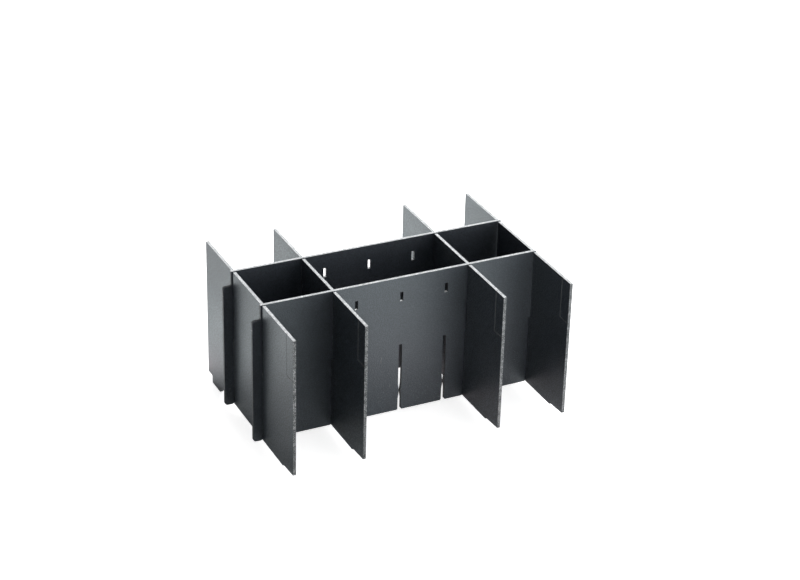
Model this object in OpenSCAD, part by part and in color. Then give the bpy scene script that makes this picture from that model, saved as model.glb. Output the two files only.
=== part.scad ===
// Divider set for a tool case: two long boards and four cross boards, cut from one
// plastic sheet and pushed into each other at half-height slots.
// X runs along the long boards, Y from the front of the case to its back, Z up.
// The origin is on the floor, under the middle of the set.

/* [Sheet] */
// Thickness of the sheet that all boards are cut from
sheet_t = 3.8; // [2.5:0.1:6]
// How much wider the slots of a long board are than the sheet
long_slot_clear = 0.4; // [0.1:0.1:1]
// How much wider the slots of a cross board are than the sheet
cross_slot_clear = 2.2; // [0.2:0.1:5]
// Radius of the rounded corners at the mouth of a long board's slot
mouth_r = 2; // [0.5:0.1:4]

/* [Heights] */
// Height of a board from its lower edge to its upper edge
board_h = 178; // [140:1:260]
// Height above the lower edge at which the two kinds of board seat in each other
seat_h = 89; // [50:1:120]

/* [Layout along the long boards] */
// Distance from the middle to each inner cross board
inner_x = 87; // [75:1:150]
// Distance from the middle to each outer cross board
outer_x = 174; // [110:1:260]
// Distance from one free slot of a long board to the next
free_pitch = 58; // [20:1:72]

/* [Layout along the cross boards] */
// Length of a cross board
cross_l = 267; // [220:1:360]
// Distance from a cross board's front end to the middle of the front long board
front_over = 92.5; // [55:0.5:115]
// Distance between the middles of the two long boards
long_gap = 90.5; // [40:0.5:115]

/* [Ends of the long boards] */
// How far the upper edge of a long board stands out past the outer cross boards
neck_over = 1.3; // [0.3:0.1:6]
// How far the tab stands out past the upper edge
tab_over = 10.3; // [6:0.1:30]
// Depth of the tab's shoulder below the upper edge
shoulder_drop = 19; // [8:0.5:80]
// Radius of the tab's outer corners
tab_r = 3.5; // [1:0.1:5]
// Radius of the fillet between the tab's shoulder and the upper part
neck_r = 2; // [0.5:0.1:5]

/* [Windows above the free slots] */
// Width of a window
window_w = 4; // [2:0.1:10]
// Height of a window
window_h = 12; // [4:0.5:40]
// Depth of a window's top below the upper edge
window_drop = 19; // [6:0.5:45]

/* [Foot at the back of a cross board] */
// How far the foot stands down below the lower edge
foot_h = 9.5; // [2:0.1:15]
// Length of the foot's flat underside
foot_l = 26; // [8:0.5:32]
// Distance from the foot to the back end of the board
foot_back = 12.5; // [2:0.5:16]

/* [Toe at the front of a cross board] */
// Length of the raised stretch of lower edge at the front end
toe_l = 28; // [5:0.5:45]
// Height of the step up to the raised stretch
toe_step = 2.3; // [0.5:0.1:8]
// How much further the raised stretch climbs towards the front end
toe_rise = 1.7; // [0.1:0.1:6]

/* [Break-off corner of a cross board] */
// Length of the scored corner along the upper edge
corner_l = 18.3; // [5:0.1:40]
// Height of the scored corner
corner_h = 52; // [10:0.5:120]
// Width of the score
score_w = 0.7; // [0.3:0.1:2]
// Depth of the score in the board's left face
score_d = 0.8; // [0.2:0.1:2]

/* [Hidden] */

sheet_colour = "#383c3f";
$fn = 64;
// Overshoot of a cut past the surface that it starts from
eps = 1;

front_y = -cross_l / 2;
rear_y = cross_l / 2;
front_long_y = front_y + front_over;
rear_long_y = front_long_y + long_gap;

long_slot_w = sheet_t + long_slot_clear;
cross_slot_w = sheet_t + cross_slot_clear;
neck_x = outer_x + sheet_t / 2 + neck_over;
tab_x = neck_x + tab_over;
shoulder_z = board_h - shoulder_drop;
window_z = board_h - window_drop - window_h;

cross_xs = [-outer_x, -inner_x, inner_x, outer_x];
free_xs = [-free_pitch, 0, free_pitch];

// What a radius r takes off a square corner at the origin whose sides run along +X and +Y
module corner_waste(r) {
    difference() {
        square(r);
        translate([r, r]) circle(r);
    }
}

// A slot from the lower edge up to the seat, with rounded corners at its mouth
module long_slot(x) {
    translate([x - long_slot_w / 2, -eps]) square([long_slot_w, seat_h + eps]);
    for (side = [0, 1]) {
        translate([x, 0]) mirror([side, 0]) translate([long_slot_w / 2, 0]) corner_waste(mouth_r);
    }
}

// One end of a long board: the tab below its shoulder, and the fillet up to the neck
module tab_end() {
    difference() {
        square([tab_x, shoulder_z]);
        translate([tab_x, 0]) mirror([1, 0]) corner_waste(tab_r);
        translate([tab_x, shoulder_z]) mirror([1, 0]) mirror([0, 1]) corner_waste(tab_r);
    }
    translate([neck_x, shoulder_z]) corner_waste(neck_r);
}

// Outline of a long board, with its lower edge on the X axis
module long_outline() {
    difference() {
        union() {
            translate([-neck_x, 0]) square([2 * neck_x, board_h]);
            tab_end();
            mirror([1, 0]) tab_end();
        }
        for (x = concat(cross_xs, free_xs)) long_slot(x);
        for (x = free_xs) {
            translate([x - window_w / 2, window_z]) square([window_w, window_h]);
        }
    }
}

// A long board standing on the level of the lower edges, with its middle plane at y
module long_board(y) {
    translate([0, y, foot_h]) rotate([90, 0, 0]) {
        linear_extrude(sheet_t, center = true) long_outline();
    }
}

// Outline of a cross board in Y and Z: foot at the back, raised toe at the front
module cross_outline() {
    foot_y = rear_y - foot_back;
    toe_y = front_y + toe_l;
    difference() {
        polygon([
            [front_y, toe_step + toe_rise],
            [toe_y, toe_step],
            [toe_y + toe_step, 0],
            [foot_y - foot_l - foot_h, 0],
            [foot_y - foot_l, -foot_h],
            [foot_y, -foot_h],
            [foot_y, 0],
            [rear_y, 0],
            [rear_y, board_h],
            [front_y, board_h]
        ]);
        // Each slot's rear flank lies against the rear face of the long board in it
        for (y = [front_long_y, rear_long_y]) {
            translate([y + sheet_t / 2 - cross_slot_w, seat_h]) {
                square([cross_slot_w, board_h - seat_h + eps]);
            }
        }
    }
}

// Path of the score that lets the upper front corner be snapped off
module score_lines() {
    translate([front_y + corner_l - score_w / 2, board_h - corner_h]) {
        square([score_w, corner_h + eps]);
    }
    translate([front_y - eps, board_h - corner_h - score_w / 2]) {
        square([corner_l + eps + score_w / 2, score_w]);
    }
}

// A cross board with its middle plane at x
module cross_board(x) {
    translate([x, 0, foot_h]) rotate([90, 0, 90]) difference() {
        linear_extrude(sheet_t, center = true) cross_outline();
        translate([0, 0, -sheet_t / 2 - eps]) linear_extrude(eps + score_d) score_lines();
    }
}

module long_divider_front() color(sheet_colour) long_board(front_long_y);
module long_divider_rear() color(sheet_colour) long_board(rear_long_y);
module cross_divider_1() color(sheet_colour) cross_board(cross_xs[0]);
module cross_divider_2() color(sheet_colour) cross_board(cross_xs[1]);
module cross_divider_3() color(sheet_colour) cross_board(cross_xs[2]);
module cross_divider_4() color(sheet_colour) cross_board(cross_xs[3]);

long_divider_front();
long_divider_rear();
cross_divider_1();
cross_divider_2();
cross_divider_3();
cross_divider_4();
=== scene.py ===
"""A divider set for a tool case, dressed and lit as a product photograph.

Six boards of one dark plastic sheet push into each other at half-height slots: two long boards
that run left to right, and four cross boards that run front to back. The boards' shapes come
from model.glb. This file gives them their finish, puts a pinch in the free slots, and adds a
floor, lights and a camera.
"""

import math

import bmesh
import bpy
from mathutils import Euler, Matrix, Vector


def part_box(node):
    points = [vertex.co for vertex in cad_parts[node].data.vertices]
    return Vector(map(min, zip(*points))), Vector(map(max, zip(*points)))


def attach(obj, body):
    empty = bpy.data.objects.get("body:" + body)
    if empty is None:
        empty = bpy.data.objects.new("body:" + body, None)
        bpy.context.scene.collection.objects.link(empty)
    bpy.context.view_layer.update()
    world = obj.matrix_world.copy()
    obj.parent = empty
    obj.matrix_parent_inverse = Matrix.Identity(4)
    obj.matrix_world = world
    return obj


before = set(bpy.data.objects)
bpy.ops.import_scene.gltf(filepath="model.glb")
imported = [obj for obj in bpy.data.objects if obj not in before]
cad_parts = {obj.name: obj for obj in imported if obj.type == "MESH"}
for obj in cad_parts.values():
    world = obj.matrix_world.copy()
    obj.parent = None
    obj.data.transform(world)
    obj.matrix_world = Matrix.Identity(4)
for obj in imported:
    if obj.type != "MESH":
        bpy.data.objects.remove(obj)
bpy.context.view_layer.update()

# ---------------------------------------------------------------- the sheet
# All six boards are cut from one sheet of dark grey plastic. Its two faces have a fine moulded
# grain and a low gloss. Where it is sawn the core is rough. Its colour on the cuts is partly
# painted
# light and shade: palest on the level cuts, a painted highlight where they face up to the light.


def connect(tree, socket, value):
    """Links an input to a socket, or sets it to a number, vector or colour."""
    if isinstance(value, bpy.types.NodeSocket):
        tree.links.new(value, socket)
    else:
        socket.default_value = value


def new_group(name, inputs, outputs):
    """A shader node group whose sockets are given as name and kind; gives it and its two ends."""
    group = bpy.data.node_groups.new(name, "ShaderNodeTree")
    for side, sockets in (("INPUT", inputs), ("OUTPUT", outputs)):
        for label, kind in sockets.items():
            group.interface.new_socket(label, in_out=side, socket_type="NodeSocket" + kind)
    entry = group.nodes.new("NodeGroupInput").outputs
    return group, entry, group.nodes.new("NodeGroupOutput").inputs


def noise(tree, coordinates, scale, detail=1.0, roughness=0.5):
    """The value of a noise pattern on the given coordinates."""
    node = tree.nodes.new("ShaderNodeTexNoise")
    node.inputs["Scale"].default_value = scale
    node.inputs["Detail"].default_value = detail
    node.inputs["Roughness"].default_value = roughness
    connect(tree, node.inputs["Vector"], coordinates)
    return node.outputs["Fac"]


def spread(tree, value, low, high, out_low=0.0, out_high=1.0, kind="LINEAR"):
    """Maps a value from one range to another, and keeps it inside the second."""
    node = tree.nodes.new("ShaderNodeMapRange")
    node.interpolation_type = kind
    connect(tree, node.inputs["Value"], value)
    connect(tree, node.inputs["From Min"], low)
    connect(tree, node.inputs["From Max"], high)
    connect(tree, node.inputs["To Min"], out_low)
    connect(tree, node.inputs["To Max"], out_high)
    return node.outputs["Result"]


def blend_colours(tree, factor, first, second):
    """A mix of two colours or colour sockets; the node's sockets are told apart by number."""
    node = tree.nodes.new("ShaderNodeMix")
    node.data_type = "RGBA"
    connect(tree, node.inputs[0], factor)
    connect(tree, node.inputs[6], first)
    connect(tree, node.inputs[7], second)
    return node.outputs[2]


# The moulded grain of the faces: a fine pebble, which is its height and changes its colour and
# gloss, and a slow cloud, which changes its roughness.
PEBBLE_SCALE, CLOUD_SCALE = 750.0, 14.0
TONE_RANGE, POLISH_RANGE, CLOUD_RANGE = (0.40, 0.62), (0.47, 0.58), (0.3, 0.7)
FACE_ROUGH = (0.40, 0.46)
grain, grain_in, grain_out = new_group(
    "moulded grain",
    {"Vector": "Vector", "Dark": "Color", "Light": "Color",
     "Least Gloss": "Float", "Most Gloss": "Float"},
    {"Color": "Color", "Roughness": "Float", "Height": "Float", "Gloss": "Float"})
pebble = noise(grain, grain_in["Vector"], PEBBLE_SCALE)
cloud = noise(grain, grain_in["Vector"], CLOUD_SCALE, detail=3.0, roughness=0.6)
tone = spread(grain, pebble, *TONE_RANGE)
polish = spread(grain, pebble, *POLISH_RANGE, grain_in["Least Gloss"], grain_in["Most Gloss"])
connect(grain, grain_out["Color"],
        blend_colours(grain, tone, grain_in["Dark"], grain_in["Light"]))
connect(grain, grain_out["Roughness"], spread(grain, cloud, *CLOUD_RANGE, *FACE_ROUGH))
connect(grain, grain_out["Height"], pebble)
connect(grain, grain_out["Gloss"], polish)


def maths(tree, operation, first, second=None):
    """A Math node on one or two numbers or sockets; gives its result."""
    node = tree.nodes.new("ShaderNodeMath")
    node.operation = operation
    connect(tree, node.inputs[0], first)
    if second is not None:
        connect(tree, node.inputs[1], second)
    return node.outputs[0]


# The sawn core: torn granules, which stand closer in some patches than in others.
GRANULE_SCALE, PATCH_SCALE, PATCH_SHARE = 900.0, 180.0, 0.5
TORN_RANGE = (0.70, 0.90)
sawn, sawn_in, sawn_out = new_group(
    "sawn core",
    {"Vector": "Vector", "Dark": "Color", "Light": "Color"},
    {"Color": "Color", "Height": "Float"})
granule = noise(sawn, sawn_in["Vector"], GRANULE_SCALE, detail=2.0, roughness=0.6)
patch = noise(sawn, sawn_in["Vector"], PATCH_SCALE, detail=2.0)
torn = maths(sawn, "ADD", granule, maths(sawn, "MULTIPLY", patch, PATCH_SHARE))
torn = spread(sawn, torn, *TORN_RANGE)
connect(sawn, sawn_out["Color"], blend_colours(sawn, torn, sawn_in["Dark"], sawn_in["Light"]))
connect(sawn, sawn_out["Height"], granule)


def apart(tree, first, second):
    """How far two numbers or sockets lie from each other."""
    return maths(tree, "ABSOLUTE", maths(tree, "SUBTRACT", first, second))


# Where a board is sawn: everywhere that lies between its two faces.
SHEET_HALF = 0.0019
SKIN_RANGE = (0.00002, 0.00012)
cut, cut_in, cut_out = new_group(
    "between the faces", {"Across": "Float", "Middle": "Float"}, {"Mask": "Float"})
depth = maths(cut, "SUBTRACT", SHEET_HALF, apart(cut, cut_in["Across"], cut_in["Middle"]))
connect(cut, cut_out["Mask"], spread(cut, depth, *SKIN_RANGE))


def split(tree, vector):
    """The X, Y and Z of a vector."""
    node = tree.nodes.new("ShaderNodeSeparateXYZ")
    connect(tree, node.inputs[0], vector)
    return node.outputs[0], node.outputs[1], node.outputs[2]


def place_group(tree, group, values):
    """Puts a node group in a tree and gives it a value for each input; gives its outputs."""
    node = tree.nodes.new("ShaderNodeGroup")
    node.node_tree = group
    for socket in node.inputs:
        connect(tree, socket, values[socket.name])
    return node.outputs


def blend_values(tree, factor, first, second):
    """A mix of two numbers or value sockets."""
    node = tree.nodes.new("ShaderNodeMix")
    connect(tree, node.inputs[0], factor)
    connect(tree, node.inputs[2], first)
    connect(tree, node.inputs[3], second)
    return node.outputs[0]


# The darkest and lightest colour of the faces and of the core on a level cut, which is pale as a
# painted highlight, and the painted shade at the bottom of a groove. The low gloss of the faces
# is a thin, cool coat.
FACE_DARK, FACE_LIGHT = (0.0125, 0.014, 0.0185, 1), (0.0235, 0.027, 0.037, 1)
LEVEL_CORE_HIGHLIGHT = ((0.26, 0.265, 0.27, 1), (0.62, 0.625, 0.63, 1))
LEVEL_RANGE = (0.0001, 0.0004)
GROOVE_SHADE_COLOUR = (0.002, 0.002, 0.002, 1)
CORE_ROUGH, CORE_HEIGHT, GRAIN_DEPTH = 0.55, 2.0, 0.0003
PLASTIC_IOR, COAT_ROUGH = 1.82, 0.43
COOL_TINT = (0.87, 0.965, 1.0, 1)


def board_material(name, axis, middle, drawn, gloss, painted_upright_core, highlighted_cut_heights, wear_and_groove_shade, wear_colour):
    """The sheet's finish for one board, whose faces lie either side of the middle along an axis.

    The grain is drawn out along each axis by the inverse of the three numbers given. The core
    has one pair of colours on the upright cuts, which is painted shade on the long boards and
    painted light on the cross boards, and another on the level cuts, paler as a painted highlight,
    whose heights are given. The wear is a node group, with a groove of its own if it has that
    output; the groove is painted near black as painted shade.
    """
    material = bpy.data.materials.new(name)
    material.use_nodes = True
    tree = material.node_tree
    shader = tree.nodes["Principled BSDF"].inputs
    place = tree.nodes.new("ShaderNodeTexCoord").outputs["Object"]
    along = split(tree, place)
    stretch = tree.nodes.new("ShaderNodeVectorMath")
    stretch.operation = "MULTIPLY"
    connect(tree, stretch.inputs[0], place)
    connect(tree, stretch.inputs[1], drawn)
    face = place_group(tree, grain, {
        "Vector": stretch.outputs["Vector"], "Dark": FACE_DARK, "Light": FACE_LIGHT,
        "Least Gloss": gloss[0], "Most Gloss": gloss[1]})

    # Painted highlight: the core is paler on the level cuts, which face up to the light.
    level = 0.0
    for height in highlighted_cut_heights:
        off_height = apart(tree, along[2], height)
        level = maths(tree, "MAXIMUM", level, spread(tree, off_height, *LEVEL_RANGE, 1.0, 0.0))
    core = place_group(tree, sawn, {
        "Vector": place,
        "Dark": blend_colours(tree, level, painted_upright_core[0], LEVEL_CORE_HIGHLIGHT[0]),
        "Light": blend_colours(tree, level, painted_upright_core[1], LEVEL_CORE_HIGHLIGHT[1])})
    edge = place_group(tree, cut, {"Across": along[axis], "Middle": middle})["Mask"]
    worn_and_groove_shade = place_group(tree, wear_and_groove_shade, {"Vector": place, "Middle": middle})

    colour = blend_colours(tree, worn_and_groove_shade["Mask"], face["Color"], wear_colour)
    colour = blend_colours(tree, edge, colour, core["Color"])
    # Painted shade: where the wear has a groove, its bottom is painted near black.
    if "Groove Shade" in worn_and_groove_shade:
        colour = blend_colours(tree, worn_and_groove_shade["Groove Shade"], colour, GROOVE_SHADE_COLOUR)
    core_height = maths(tree, "MULTIPLY", core["Height"], CORE_HEIGHT)
    bump = tree.nodes.new("ShaderNodeBump")
    bump.inputs["Strength"].default_value = 1.0
    bump.inputs["Distance"].default_value = GRAIN_DEPTH
    connect(tree, bump.inputs["Height"], blend_values(tree, edge, face["Height"], core_height))
    connect(tree, shader["Base Color"], colour)
    connect(tree, shader["Normal"], bump.outputs["Normal"])
    connect(tree, shader["Roughness"], blend_values(tree, edge, face["Roughness"], CORE_ROUGH))
    connect(tree, shader["Coat Weight"], blend_values(tree, edge, face["Gloss"], 0.0))
    shader["Coat Roughness"].default_value = COAT_ROUGH
    shader["Coat Tint"].default_value = COOL_TINT
    shader["IOR"].default_value = PLASTIC_IOR
    shader["Specular Tint"].default_value = COOL_TINT
    return material


WELD_REACH = 0.00001
ARRIS_WIDE, ARRIS_ANGLE = 0.0002, math.radians(30)


def finish_board(node, material):
    """Gives a board its finish, joins its loose triangles and breaks its sharp arrises."""
    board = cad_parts[node]
    board.data.materials.clear()
    board.data.materials.append(material)
    weld = board.modifiers.new("joined corners", "WELD")
    weld.merge_threshold = WELD_REACH
    arris = board.modifiers.new("broken arris", "BEVEL")
    arris.width = ARRIS_WIDE
    arris.segments = 2
    arris.limit_method = "ANGLE"
    arris.angle_limit = ARRIS_ANGLE
    arris.harden_normals = False


# ---------------------------------------------------------------- long dividers
# The two long boards, left to right in the case. Each has seven slots open at the lower edge,
# three small windows over the free slots, whose sills are pale as a painted highlight, and a tab at
# each end that fits the case. The upright sides of their cuts are painted dark, as painted shade.
TOP_Z, SILL_Z = 0.1875, 0.1565
LONG_DRAWN, LONG_GLOSS = (1, 1, 1), (0.25, 0.45)
# Painted shade: the long boards' upright cuts are darker than the cross boards'.
LONG_CORE_SHADED = ((0.006, 0.006, 0.007, 1), (0.06, 0.06, 0.065, 1))
DUST_COLOUR = (0.16, 0.16, 0.16, 1)

# Dust caught in the grain of their lower half, and short scuffs left on the front face by boards
# pushed in beside the middle slot.
SPECK_SCALE, SPECK_RANGE = 700.0, (0.65, 0.71)
DRIFT_SCALE, DRIFT_RANGE, DRIFT_LEAST = 30.0, (0.40, 0.60), 0.2
DUST_FULL_Z, DUST_TOP_Z = 0.02, 0.105
SCUFF_PLACES = ((-0.0252, 0.0804), (-0.0246, 0.0845), (-0.0130, 0.0450))
SCUFF_WIDE, SCUFF_TALL, SCUFF_STRENGTH = 0.0007, 0.0030, 0.8
FRONT_FACE_Y = -0.0428
dust, dust_in, dust_out = new_group("dust", {"Vector": "Vector"}, {"Mask": "Float"})
dust_x, dust_y, dust_z = split(dust, dust_in["Vector"])
speck = spread(dust, noise(dust, dust_in["Vector"], SPECK_SCALE), *SPECK_RANGE)
low_part = spread(dust, dust_z, DUST_FULL_Z, DUST_TOP_Z, 1.0, 0.0)
drift = spread(dust, noise(dust, dust_in["Vector"], DRIFT_SCALE), *DRIFT_RANGE, DRIFT_LEAST)
marks = maths(dust, "MULTIPLY", maths(dust, "MULTIPLY", speck, low_part), drift)
on_front = maths(dust, "LESS_THAN", dust_y, FRONT_FACE_Y)
for scuff_x, scuff_z in SCUFF_PLACES:
    beside = spread(dust, apart(dust, dust_x, scuff_x), 0.0, SCUFF_WIDE, SCUFF_STRENGTH, 0.0)
    above = spread(dust, apart(dust, dust_z, scuff_z), 0.0, SCUFF_TALL, 1.0, 0.0)
    scuff = maths(dust, "MULTIPLY", maths(dust, "MULTIPLY", beside, above), on_front)
    marks = maths(dust, "MAXIMUM", marks, scuff)
connect(dust, dust_out["Mask"], marks)

# A pinch in each free slot, a little way up, that grips a board pushed into it: one low bump on
# either wall, of the same sheet.
FREE_SLOT_XS = (-0.058, 0.0, 0.058)
SLOT_HALF = 0.0021
BUMP_Z, BUMP_RAMP, BUMP_CREST, BUMP_OUT = 0.035, 0.011, 0.001, 0.0013
BUMP_INSET = 0.0001


def slot_bumps(name, low, high, material):
    """The bumps in the free slots of a long board, whose box has the corners low and high."""
    shape = bmesh.new()
    for x in FREE_SLOT_XS:
        for side in (-1, 1):
            wall = x + side * (SLOT_HALF + BUMP_INSET)
            crest = x + side * (SLOT_HALF - BUMP_OUT)
            outline = ((wall, BUMP_Z - BUMP_RAMP), (crest, BUMP_Z - BUMP_CREST),
                       (crest, BUMP_Z + BUMP_CREST), (wall, BUMP_Z + BUMP_RAMP))
            corners = [shape.verts.new((across, low.y + BUMP_INSET, up)) for across, up in outline]
            near_end = bmesh.ops.contextual_create(shape, geom=corners)["faces"]
            pulled = bmesh.ops.extrude_face_region(shape, geom=near_end)["geom"]
            far_end = [part for part in pulled if isinstance(part, bmesh.types.BMVert)]
            thickness = high.y - low.y - 2 * BUMP_INSET
            bmesh.ops.translate(shape, vec=(0, thickness, 0), verts=far_end)
            bmesh.ops.contextual_create(shape, geom=corners)
    bmesh.ops.recalc_face_normals(shape, faces=shape.faces)
    mesh = bpy.data.meshes.new(name)
    shape.to_mesh(mesh)
    shape.free()
    mesh.materials.append(material)
    bumps = bpy.data.objects.new(name, mesh)
    bpy.context.scene.collection.objects.link(bumps)
    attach(bumps, "root")


for node in ("long_divider_front", "long_divider_rear"):
    low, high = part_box(node)
    material = board_material(
        node + " sheet", axis=1, middle=(low.y + high.y) / 2, drawn=LONG_DRAWN, gloss=LONG_GLOSS,
        painted_upright_core=LONG_CORE_SHADED, highlighted_cut_heights=(TOP_Z, SILL_Z), wear_and_groove_shade=dust, wear_colour=DUST_COLOUR)
    finish_board(node, material)
    slot_bumps(node + "_bumps", low, high, material)

# ---------------------------------------------------------------- cross dividers
# The four cross boards, front to back. Each has two slots open at the upper edge, a foot under
# its back end, a raised toe in front and a scored corner that can be snapped off. Their grain is
# drawn out a little from front to back, and the sides of their cuts are pale as painted light.
CROSS_DRAWN, CROSS_GLOSS = (1, 0.6, 1), (0.03, 0.54)
# Painted light: the cross boards' upright cuts are paler than the long boards'.
CROSS_CORE_LIT = ((0.02, 0.02, 0.021, 1), (0.31, 0.315, 0.32, 1))
RIM_COLOUR = (0.17, 0.17, 0.17, 1)

# The score, on the left face only: the cutter has left a groove with rough, paler edges, and the
# groove is painted near black as painted shade.
SCORE_Y, SCORE_Z = -0.1152, 0.1355
RIM_RANGE, GROOVE_RANGE = (0.0007, 0.0011), (0.00036, 0.00045)
score, score_in, score_out = new_group(
    "scored line", {"Vector": "Vector", "Middle": "Float"}, {"Mask": "Float", "Groove Shade": "Float"})
score_x, score_y, score_z = split(score, score_in["Vector"])
behind = maths(score, "SUBTRACT", score_y, SCORE_Y)
below = maths(score, "SUBTRACT", SCORE_Z, score_z)
off_score = maths(score, "ABSOLUTE", maths(score, "MAXIMUM", behind, below))
on_left = maths(score, "LESS_THAN", score_x, score_in["Middle"])
rim = spread(score, off_score, *RIM_RANGE, 1.0, 0.0)
groove_shade = spread(score, off_score, *GROOVE_RANGE, 1.0, 0.0)
connect(score, score_out["Mask"], maths(score, "MULTIPLY", rim, on_left))
connect(score, score_out["Groove Shade"], maths(score, "MULTIPLY", groove_shade, on_left))

for number in (1, 2, 3, 4):
    node = f"cross_divider_{number}"
    low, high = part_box(node)
    finish_board(node, board_material(
        node + " sheet", axis=0, middle=(low.x + high.x) / 2, drawn=CROSS_DRAWN, gloss=CROSS_GLOSS,
        painted_upright_core=CROSS_CORE_LIT, highlighted_cut_heights=(TOP_Z,), wear_and_groove_shade=score, wear_colour=RIM_COLOUR))

# ---------------------------------------------------------------- floor
# A level sheet of matt white paper under the feet, large enough to fill the picture. It shows
# white wherever no shadow falls on it, and carries the soft shadow close round the set.
PAPER_HALF = 6.0
sheet = bmesh.new()
bmesh.ops.create_grid(sheet, x_segments=1, y_segments=1, size=PAPER_HALF)
floor_mesh = bpy.data.meshes.new("floor")
sheet.to_mesh(floor_mesh)
sheet.free()
floor = bpy.data.objects.new("floor", floor_mesh)
bpy.context.scene.collection.objects.link(floor)

PAPER_WHITE, PAPER_SHADED = (0.9, 0.9, 0.9, 1), (0.25, 0.25, 0.25, 1)
WHITE = (1, 1, 1, 1)
CAMERA_GLOW = 0.75
paper = bpy.data.materials.new("white paper")
paper.use_nodes = True
floor_mesh.materials.append(paper)
tree = paper.node_tree
shader = tree.nodes["Principled BSDF"].inputs
shader["Roughness"].default_value = 1.0
shader["Specular IOR Level"].default_value = 0.0
path = tree.nodes.new("ShaderNodeLightPath").outputs
place = tree.nodes.new("ShaderNodeTexCoord").outputs["Object"]
floor_x, floor_y, _ = split(tree, place)


def beyond(tree, value, half):
    """How far a place lies outside the set, along one axis."""
    past = maths(tree, "SUBTRACT", maths(tree, "ABSOLUTE", value), half)
    return maths(tree, "MAXIMUM", past, 0.0)


# Painted light: the paper glows in what reflects it, though it is no lamp. The glow is little
# close round the set, as painted shade, a little more between the long boards, fully in front of it
# and behind, and less again far out to either side and in the corners.
SET_HALF_X, SET_HALF_Y = 0.1875, 0.1335
BAY_MIDDLE_Y, BAY_RANGE, BAY_GLOW = 0.00425, (0.038, 0.043), 0.3
FOOT_RANGE, FOOT_GLOW = (0.010, 0.030), 0.10
SIDE_RANGE, SIDE_GLOW = (0.07, 0.13), 0.4
NEAR_RANGE, NEAR_GLOW = (0.02, 0.12), 0.92
CORNER_RANGE_X, CORNER_RANGE_Y, CORNER_LOSS = (0.0, 0.04), (0.15, 0.25), 0.75
out_x = beyond(tree, floor_x, SET_HALF_X)
out_y = beyond(tree, floor_y, SET_HALF_Y)
outside = maths(tree, "ADD", out_x, out_y)
in_bay = spread(tree, apart(tree, floor_y, BAY_MIDDLE_Y), *BAY_RANGE, BAY_GLOW, 0.0)
clear = maths(tree, "MAXIMUM", spread(tree, outside, *FOOT_RANGE, FOOT_GLOW, 1.0), in_bay)
clear = maths(tree, "MULTIPLY", clear, spread(tree, out_x, *SIDE_RANGE, 1.0, SIDE_GLOW))
clear = maths(tree, "MULTIPLY", clear, spread(tree, out_y, *NEAR_RANGE, NEAR_GLOW, 1.0))
corner = maths(tree, "MULTIPLY", spread(tree, out_x, *CORNER_RANGE_X),
               spread(tree, out_y, *CORNER_RANGE_Y, 0.0, CORNER_LOSS))
clear = maths(tree, "MULTIPLY", clear, maths(tree, "SUBTRACT", 1.0, corner))

# In front on the left, the side away from the light, the set shades the paper: in a reflection
# it has no glow there and is a darker colour.
UNLIT_WAY, UNLIT_RANGE = (-0.88, -0.48, 0), (0.50, 0.62)
SHADED_WAY, SHADED_RANGE = (-0.57, -0.82, 0), (0.75, 0.9)
SHADE_EDGE = 0.01
away = tree.nodes.new("ShaderNodeVectorMath")
away.operation = "NORMALIZE"
connect(tree, away.inputs[0], place)


def towards(tree, direction, way):
    """How nearly a direction points a way: 1 straight along it, 0 square to it."""
    node = tree.nodes.new("ShaderNodeVectorMath")
    node.operation = "DOT_PRODUCT"
    connect(tree, node.inputs[0], direction)
    connect(tree, node.inputs[1], way)
    return node.outputs["Value"]


lit = spread(tree, towards(tree, away.outputs["Vector"], UNLIT_WAY), *UNLIT_RANGE, 1.0, 0.0)
shade = spread(tree, towards(tree, away.outputs["Vector"], SHADED_WAY), *SHADED_RANGE)
shade = maths(tree, "MULTIPLY", shade, spread(tree, outside, 0.0, SHADE_EDGE))
mirrored_shade = maths(tree, "MULTIPLY", path["Is Glossy Ray"], shade)
connect(tree, shader["Base Color"], blend_colours(tree, mirrored_shade, PAPER_WHITE, PAPER_SHADED))
# A painted reflection: only glossy rays see this glow.
painted_reflection_glow = maths(tree, "MULTIPLY", path["Is Glossy Ray"], maths(tree, "MULTIPLY", clear, lit))
shown = maths(tree, "MULTIPLY", path["Is Camera Ray"], CAMERA_GLOW)
connect(tree, shader["Emission Strength"], maths(tree, "ADD", painted_reflection_glow, shown))

# That glow is warm close to the set and nearly white further out, and turns sooner to the
# sides. The camera sees plain white.
WARM_GLOW, PALE_GLOW, GLOW_RANGE = (0.90, 0.70, 0.74, 1), (0.93, 1.0, 1.0, 1), (0.03, 0.22)
SIDEWAYS = 3.0
distance = maths(tree, "ADD", outside, maths(tree, "MULTIPLY", out_x, SIDEWAYS))
mirrored = blend_colours(tree, spread(tree, distance, *GLOW_RANGE), WARM_GLOW, PALE_GLOW)
connect(tree, shader["Emission Color"],
        blend_colours(tree, path["Is Camera Ray"], mirrored, WHITE))

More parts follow.
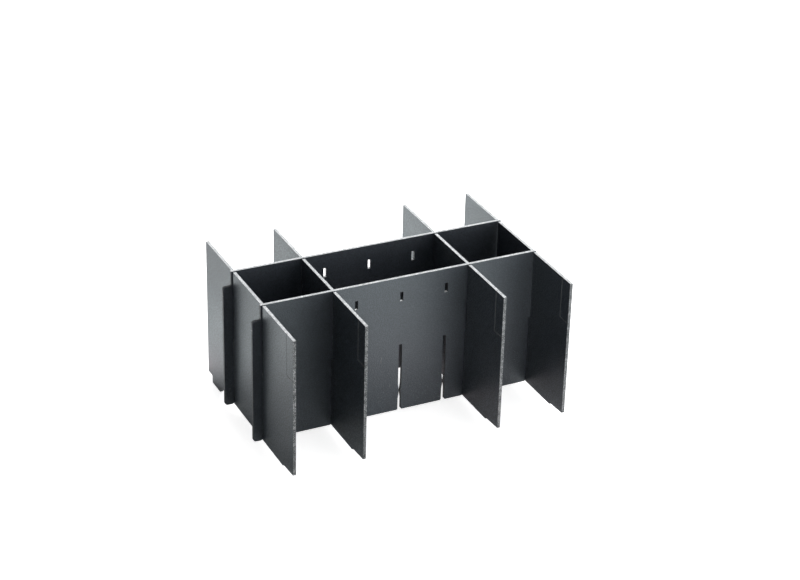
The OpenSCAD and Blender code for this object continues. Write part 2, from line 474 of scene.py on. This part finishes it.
# ---------------------------------------------------------------- light
# A white room with one long soft light: all of its right side, brightest low down. It gives an
# open sheet of paper a level of about 1, and the room shows plain white to the camera.
ROOM, LIGHT = 0.33, 2.3
RIGHT_RANGE, LOW_RANGE = (-0.10, 0.06), (0.0, 1.5)
world = bpy.data.worlds.new("white room")
bpy.context.scene.world = world
world.use_nodes = True
tree = world.node_tree
room = tree.nodes["Background"].inputs
room["Color"].default_value = WHITE
sky_x, _, sky_z = split(tree, tree.nodes.new("ShaderNodeTexCoord").outputs["Generated"])
on_right = spread(tree, sky_x, *RIGHT_RANGE, 0.0, LIGHT, "SMOOTHSTEP")
low_down = spread(tree, sky_z, *LOW_RANGE, 1.0, 0.0, "SMOOTHSTEP")
level = maths(tree, "ADD", maths(tree, "MULTIPLY", on_right, low_down), ROOM)
path = tree.nodes.new("ShaderNodeLightPath").outputs
connect(tree, room["Strength"], blend_values(tree, path["Is Camera Ray"], level, 1.0))

# A soft box stands behind the set, to the right of the camera's line, and lights the upper edges.
BACK_AZIMUTH, BACK_HEIGHT, BACK_AWAY = 152.0, 30.0, 1.8
BACK_WIDE, BACK_TALL, BACK_WATTS = 1.5, 0.7, 17.0
box = bpy.data.lights.new("back soft box", "AREA")
box.shape = "RECTANGLE"
box.size, box.size_y, box.energy = BACK_WIDE, BACK_TALL, BACK_WATTS
back_light = bpy.data.objects.new("back soft box", box)
bpy.context.scene.collection.objects.link(back_light)
facing = Euler((math.radians(90 - BACK_HEIGHT), 0, math.radians(BACK_AZIMUTH))).to_matrix().to_4x4()
back_light.matrix_world = facing @ Matrix.Translation((0, 0, BACK_AWAY))
back_light.visible_camera = False

# ---------------------------------------------------------------- camera
# A long lens from the front left, above, at the photograph's angle, and rolled a little as the
# photograph is.
CAMERA_PLACE = (-0.96331, -1.99932, 1.31635)
AZIMUTH, ELEVATION, ROLL = -26.152, 27.708, 1.477
SENSOR_WIDE, LENS, CLIP_END = 36.0, 95.277, 50.0
camera_data = bpy.data.cameras.new("camera")
camera = bpy.data.objects.new("camera", camera_data)
bpy.context.scene.collection.objects.link(camera)
camera_data.sensor_width = SENSOR_WIDE
camera_data.lens = LENS
camera_data.clip_end = CLIP_END
turn = Euler((math.radians(90 - ELEVATION), 0, math.radians(AZIMUTH))).to_matrix().to_4x4()
camera.matrix_world = (Matrix.Translation(CAMERA_PLACE) @ turn
                       @ Matrix.Rotation(math.radians(ROLL), 4, "Z"))
bpy.context.scene.camera = camera

bpy.context.scene.view_settings.view_transform = "Standard"
